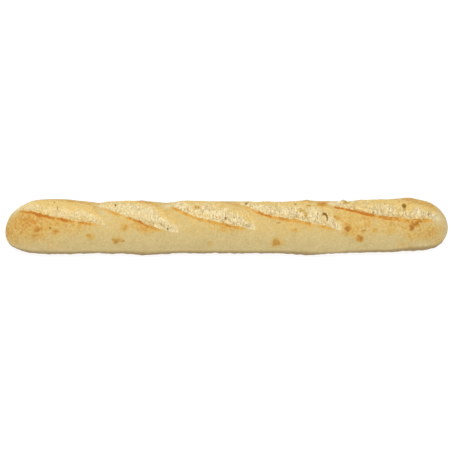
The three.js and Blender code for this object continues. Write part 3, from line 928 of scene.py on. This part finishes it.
def bread_patterns(graph, mark):
    """Patterns of the crust and the crumb, and how they break up the toasted places."""
    stretch = {"Vector": graph.place, "Scale": CRUMB_STRETCH}
    across = graph.node("ShaderNodeMapping", {}, stretch).outputs["Vector"]
    pattern = SimpleNamespace(**{name: graph.grain(*look) for name, look in PATTERNS.items()})
    fine, mottle, speckle = pattern.fine, pattern.mottle, pattern.speckle
    off_middle = graph.grain(*CURLS, across) - 0.5
    finely = 0.6 + 0.8 * fine.step(0.3, 0.7)
    flecked = (0.3 + 1.1 * speckle.step(0.32, 0.66)) * finely
    curls = (off_middle * off_middle).step(0.0035, 0.0) * mottle.step(0.3, 0.55)
    cells = graph.value("Distance", "ShaderNodeTexVoronoi", {}, {"Scale": 1 / CELL_SIZE, "Vector": across})
    holed = cells.step(0.34, 0.1) * mottle.step(0.45, 0.65)
    pattern.threads = graph.grain(*THREADS, across)
    pattern.finely = finely
    pattern.patchy = 0.55 + 0.9 * speckle.step(0.3, 0.7)
    pattern.curls = curls * (1 - 0.6 * mark.baked) * mark.creased
    # The small pores are sunk into the bump relief and darkened with painted shade.
    pattern.tiny_pores = mark.creased * holed * (1 - 0.7 * mark.baked) * 0.5
    pattern.toasting = mark.toast * (0.5 + 0.9 * mottle.step(0.3, 0.7)) * flecked
    pattern.freckled = mark.toast.step(0, 0.25)
    return pattern


def base_colour(graph, colours, pattern):
    """The flat base: unevenly browned, with some flour."""
    coats = [
        (colours.baked_base, pattern.clouds.step(0.35, 0.65) * 0.5),
        (colours.baked_base, (pattern.speckle * (0.5 + pattern.mottle)).step(0.45, 0.75)),
        (colours.flour_and_painted_light, pattern.fine.step(0.55, 0.75) * pattern.mottle.step(0.6, 0.4) * 0.3),
    ]
    return graph.coated(colours.base_crust_and_shade, coats)


def crust_colour(graph, colours, mark, pattern):
    """Pale crust, golden towards the top and toasted in places, with painted shade on the edge above the
    base, and the base.
    """
    cloudy = 0.35 + 0.8 * pattern.clouds.step(0.35, 0.7)
    coats = [
        (colours.golden, mark.upper * cloudy * pattern.finely + mark.rim),
        (colours.pale_crust, pattern.speckle.step(0.35, 0.7) * 0.5),
        (colours.dull_crust, pattern.mottle.step(0.45, 0.75) * 0.6),
        (colours.golden, mark.toast.step(0.0, 0.4)),
        (colours.toasted, pattern.toasting.step(0.05, 1.0)),
        (colours.pale_crust, pattern.freckled * pattern.dust.step(0.54, 0.7) * 0.36),
        (colours.ear, pattern.freckled * pattern.dust.step(0.46, 0.3) * 0.25),
        # Painted shade above the flat base, with some browning of its rim.
        (colours.base_crust_and_shade, mark.under),
        # The base's colour, partly painted shade along the lowest edge.
        (base_colour(graph, colours, pattern), mark.bottom),
    ]
    return graph.coated(colours.crust, coats)


def crumb_colour(graph, colours, mark, pattern):
    """Open crumb with paler threads and shaded creases, golden and toasted in places."""
    golden = mark.baked * (0.5 + pattern.speckle.step(0.3, 0.7)) + pattern.mottle.step(0.5, 0.8) * 0.35
    coats = [
        (colours.pale_crumb, pattern.threads.step(0.38, 0.6)),
        (colours.golden_crumb, golden),
        (colours.crumb_shade, pattern.curls * 0.5),
        (colours.toasted, pattern.toasting.step(0.2, 1.5)),
    ]
    return graph.coated(colours.crumb, coats)


def bread_colour(graph, colours, mark, pattern):
    """Crust and crumb with the ears' toasted edges, the spots, painted shade in the pores, and the flour,
    painted highlights and painted light on them.
    """
    ear = mark.ear * (0.8 + 0.4 * pattern.speckle.step(0.3, 0.7))
    spot = graph.blend(colours.toasted, colours.dull_spot, mark.dull)
    coats = [
        (crumb_colour(graph, colours, mark, pattern), mark.crumb),
        (colours.ear_glow, mark.ear.step(0.0, 0.45)),
        (colours.ear, ear.step(0.4, 1.0)),
        (colours.golden, mark.spot.step(0.0, 0.4) * 0.8),
        (spot, (mark.spot * pattern.patchy).step(0.1, 1.15)),
        (colours.browned, mark.burnt * pattern.patchy),
    ]
    surface = graph.coated(crust_colour(graph, colours, mark, pattern), coats)
    dusty = 0.12 * pattern.freckled * (pattern.dust.step(0.35, 0.65) - 0.5)
    shade = 0.88 + 0.24 * pattern.fine.step(0.28, 0.72) + dusty
    surface = graph.blend(surface, shade, 0.7 + 0.3 * mark.crumb, "MULTIPLY")
    # Painted shade inside the pores, the small pores of the crumb and the burst bubble.
    pore_shade = mark.pore_shade.step(0.1, 1.1).larger(pattern.tiny_pores) * 0.95
    # Flour, painted highlights and painted light laid over all.
    return graph.coated(surface, [(colours.pore_shade, pore_shade), (colours.flour_and_painted_light, mark.fleck)])


def fine_relief(mark, pattern):
    """Height in millimetres of the relief that is finer than the mesh."""
    crust = pattern.speckle * 0.4 + pattern.fine * 0.5
    crumb = pattern.threads * 1.4 + pattern.fine * 0.6 - pattern.tiny_pores * 1.5 - pattern.curls * 0.5
    return (1 - mark.crumb) * crust + mark.crumb * crumb


def bread_material(colours):
    """Pale crust, toasted in places, and open crumb in the slashes."""
    graph = Graph("baguette_crust")
    mark = SimpleNamespace(**{name: graph.mark(name) for name in MARKS})
    pattern = bread_patterns(graph, mark)
    relief = {"Strength": 0.8, "Distance": MM, "Height": fine_relief(mark, pattern)}
    return graph.finish(
        Base_Color=bread_colour(graph, colours, mark, pattern),
        Roughness=0.62 + 0.2 * mark.crumb + 0.1 * pattern.mottle,
        Specular_IOR_Level=0.3,
        Normal=graph.node("ShaderNodeBump", {}, relief).outputs["Normal"],
    )


# ---- The operators and what they read ----


def number(name, description, default, **kind):
    """A number that can be set."""
    return bpy.props.FloatProperty(name=name, description=description, default=default, **kind)


def length(name, description, default):
    """A length that can be set."""
    return number(name, description, default, unit="LENGTH")


def colour(name, description, default):
    """A colour that can be set."""
    return bpy.props.FloatVectorProperty(
        name=name, description=description, default=default, subtype="COLOR", min=0, max=1
    )


class BaguetteSizes(bpy.types.PropertyGroup):
    """Sizes of the loaf's relief."""

    lip_height: length("Lip height", "How far each ear stands above the crust", 1.9 * MM)
    cut_depth: length("Cut depth", "How deep the step behind each ear is", 1.5 * MM)
    bloom_height: length("Bloom height", "How far the crumb rose out of each slash", 2.5 * MM)
    pore_depth: length("Pore depth", "Depth of an ordinary pore in the crumb", 1 * MM)
    crumb_roughness: number("Crumb roughness", "How rough the open crumb is", 1, subtype="FACTOR")


class BaguetteColours(bpy.types.PropertyGroup):
    """Colours of the crust and the crumb."""

    crust: colour("Crust", "Thin pale crust", (0.67, 0.515, 0.22))
    pale_crust: colour("Pale crust", "Lightest patches of the crust", (0.73, 0.58, 0.28))
    dull_crust: colour("Dull crust", "Duller patches of the crust", (0.60, 0.45, 0.19))
    golden: colour("Golden crust", "Lightly baked crust", (0.71, 0.465, 0.12))
    toasted: colour("Toasted crust", "Orange-brown crust", (0.63, 0.29, 0.042))
    browned: colour("Brown spots", "Darkest spots of the crust", (0.43, 0.18, 0.02))
    dull_spot: colour("Dull spots", "Yellow-brown spots of the crust", (0.55, 0.33, 0.07))
    ear: colour("Ear", "Darkest part of each slash's toasted edge", (0.53, 0.18, 0.014))
    ear_glow: colour("Ear's glow", "Golden part of each slash's toasted edge", (0.74, 0.42, 0.08))
    crumb: colour("Crumb", "Open crumb", (0.80, 0.62, 0.30))
    pale_crumb: colour("Pale crumb", "Palest threads of the crumb", (0.95, 0.82, 0.50))
    golden_crumb: colour("Golden crumb", "Baked part of the crumb", (0.83, 0.58, 0.19))
    crumb_shade: colour("Creases of the crumb", "Shaded creases of the crumb", (0.55, 0.38, 0.14))
    # Painted shade inside the pores and the burst bubble.
    pore_shade: colour("Pores", "Shaded inside of the pores", (0.27, 0.125, 0.006))
    # Painted shade on the crust just above the flat base. The flat base's own crust also starts from this
    # colour.
    base_crust_and_shade: colour("Base's edge", "Crust just above the flat base", (0.34, 0.236, 0.092))
    baked_base: colour("Flat base", "Browned patches of the flat base", (0.37, 0.19, 0.05))
    # Flour on the base and in flecks. In the flecks it also paints highlights on small blisters and light
    # on shaded places.
    flour_and_painted_light: colour("Flour", "Pale patches and flecks of flour", (0.93, 0.82, 0.53))


class StageSettings(bpy.types.PropertyGroup):
    """Floor, light and camera."""

    floor_size: length("Floor size", "Width of the floor", 60)
    camera_distance: length("Camera distance", "From the loaf's middle to the camera", 1.8)
    camera_height: number("Camera elevation", "Angle above the floor", math.radians(32), subtype="ANGLE")
    lamp_power: number("Lamp power", "Power of the soft lamp", 32, unit="POWER")
    sky: number("Sky", "Strength of the light all round", 0.47)
    floor_glow: number("Floor glow", "Light of the floor itself, as of a light table", 0.9)


def add_object(scene, name, data):
    """Puts a mesh, a lamp or a camera into the scene."""
    made = bpy.data.objects.new(name, data)
    scene.collection.objects.link(made)
    return made


def mesh_of(shape, name):
    """The mesh of a bmesh, which is then let go."""
    mesh = bpy.data.meshes.new(name)
    shape.to_mesh(mesh)
    shape.free()
    return mesh


class BuildLoaf(bpy.types.Operator):
    """Build the loaf of bread"""

    bl_idname = "baguette.build_loaf"
    bl_label = "Build the loaf"

    def execute(self, context):
        ball = bmesh.new()
        onto_x = Matrix(((0, 0, 1, 0), (0, -1, 0, 0), (1, 0, 0, 0), (0, 0, 0, 1)))
        bmesh.ops.create_uvsphere(ball, u_segments=ROWS, v_segments=COLUMNS, radius=1, matrix=onto_x)
        mesh = mesh_of(ball, "baguette_loaf")
        shape_loaf(mesh, context.scene.baguette_sizes)
        mesh.shade_smooth()
        mesh.materials.append(bread_material(context.scene.baguette_colours))
        loaf = add_object(context.scene, "baguette_loaf", mesh)
        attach(loaf, "root")
        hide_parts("loaf")
        return {"FINISHED"}


def add_floor(scene, settings):
    """A pale floor that glows a little, as a light table does."""
    plane = bmesh.new()
    bmesh.ops.create_grid(plane, x_segments=1, y_segments=1, size=settings.floor_size / 2)
    mesh = mesh_of(plane, "floor")
    glow = {"Emission_Color": WHITE, "Emission_Strength": settings.floor_glow}
    paper = Graph("pale_floor").finish(Base_Color=PAPER, Roughness=0.9, Specular_IOR_Level=0.0, **glow)
    mesh.materials.append(paper)
    floor = add_object(scene, "floor", mesh)


def add_light(scene, settings):
    """Even light from all round, and one soft lamp overhead."""
    world = bpy.data.worlds.new("studio")
    scene.world = world
    world.use_nodes = True
    backdrop = world.node_tree.nodes["Background"]
    backdrop.inputs["Color"].default_value = WHITE
    backdrop.inputs["Strength"].default_value = settings.sky

    lamp_data = bpy.data.lights.new("soft_lamp", "AREA")
    lamp_data.energy = settings.lamp_power
    lamp_data.shape = "RECTANGLE"
    lamp_data.size, lamp_data.size_y = LAMP_SIZE
    lamp = add_object(scene, "soft_lamp", lamp_data)
    lamp.location = LAMP_PLACE
    lamp.rotation_euler = (-lamp.location).to_track_quat("-Z", "Y").to_euler()


def add_camera(scene, settings):
    """A camera that looks down at the loaf's front."""
    rise = settings.camera_height
    picture_up = Vector((0, math.sin(rise), math.cos(rise)))
    aim = Vector(AIM) + AIM_RISE * picture_up
    camera_data = bpy.data.cameras.new("camera")
    camera_data.sensor_width = SENSOR_WIDTH
    camera_data.lens = LENS
    camera = add_object(scene, "camera", camera_data)
    camera.location = aim + settings.camera_distance * Vector((0, -math.cos(rise), math.sin(rise)))
    camera.rotation_euler = (math.pi / 2 - rise, 0, 0)
    scene.camera = camera


class BuildStage(bpy.types.Operator):
    """Build the floor, the light and the camera"""

    bl_idname = "baguette.build_stage"
    bl_label = "Build the stage"

    def execute(self, context):
        settings = context.scene.baguette_stage
        add_floor(context.scene, settings)
        add_light(context.scene, settings)
        add_camera(context.scene, settings)
        context.scene.view_settings.view_transform = "Standard"
        return {"FINISHED"}


class BaguettePanel(bpy.types.Panel):
    """Lists the loaf's and the stage's settings and operators"""

    bl_idname = "VIEW3D_PT_baguette"
    bl_label = "Baguette"
    bl_space_type = "VIEW_3D"
    bl_region_type = "UI"
    bl_category = "Baguette"

    def draw(self, context):
        for group in GROUPS:
            settings = getattr(context.scene, group)
            for name in settings.bl_rna.properties.keys():
                if name not in {"rna_type", "name"}:
                    self.layout.prop(settings, name)
        self.layout.operator(BuildLoaf.bl_idname)
        self.layout.operator(BuildStage.bl_idname)


GROUPS = {
    "baguette_sizes": BaguetteSizes,
    "baguette_colours": BaguetteColours,
    "baguette_stage": StageSettings,
}
CLASSES = [*GROUPS.values(), BuildLoaf, BuildStage, BaguettePanel]


def register():
    """Adds the classes and their settings to Blender."""
    for each in CLASSES:
        bpy.utils.register_class(each)
    for name, group in GROUPS.items():
        setattr(bpy.types.Scene, name, bpy.props.PointerProperty(type=group))


def unregister():
    """Takes the classes and their settings out of Blender."""
    for name in GROUPS:
        delattr(bpy.types.Scene, name)
    for each in reversed(CLASSES):
        bpy.utils.unregister_class(each)


def main():
    """Builds the loaf and its stage."""
    register()
    bpy.ops.baguette.build_loaf()
    bpy.ops.baguette.build_stage()


if __name__ == "__main__":
    main()
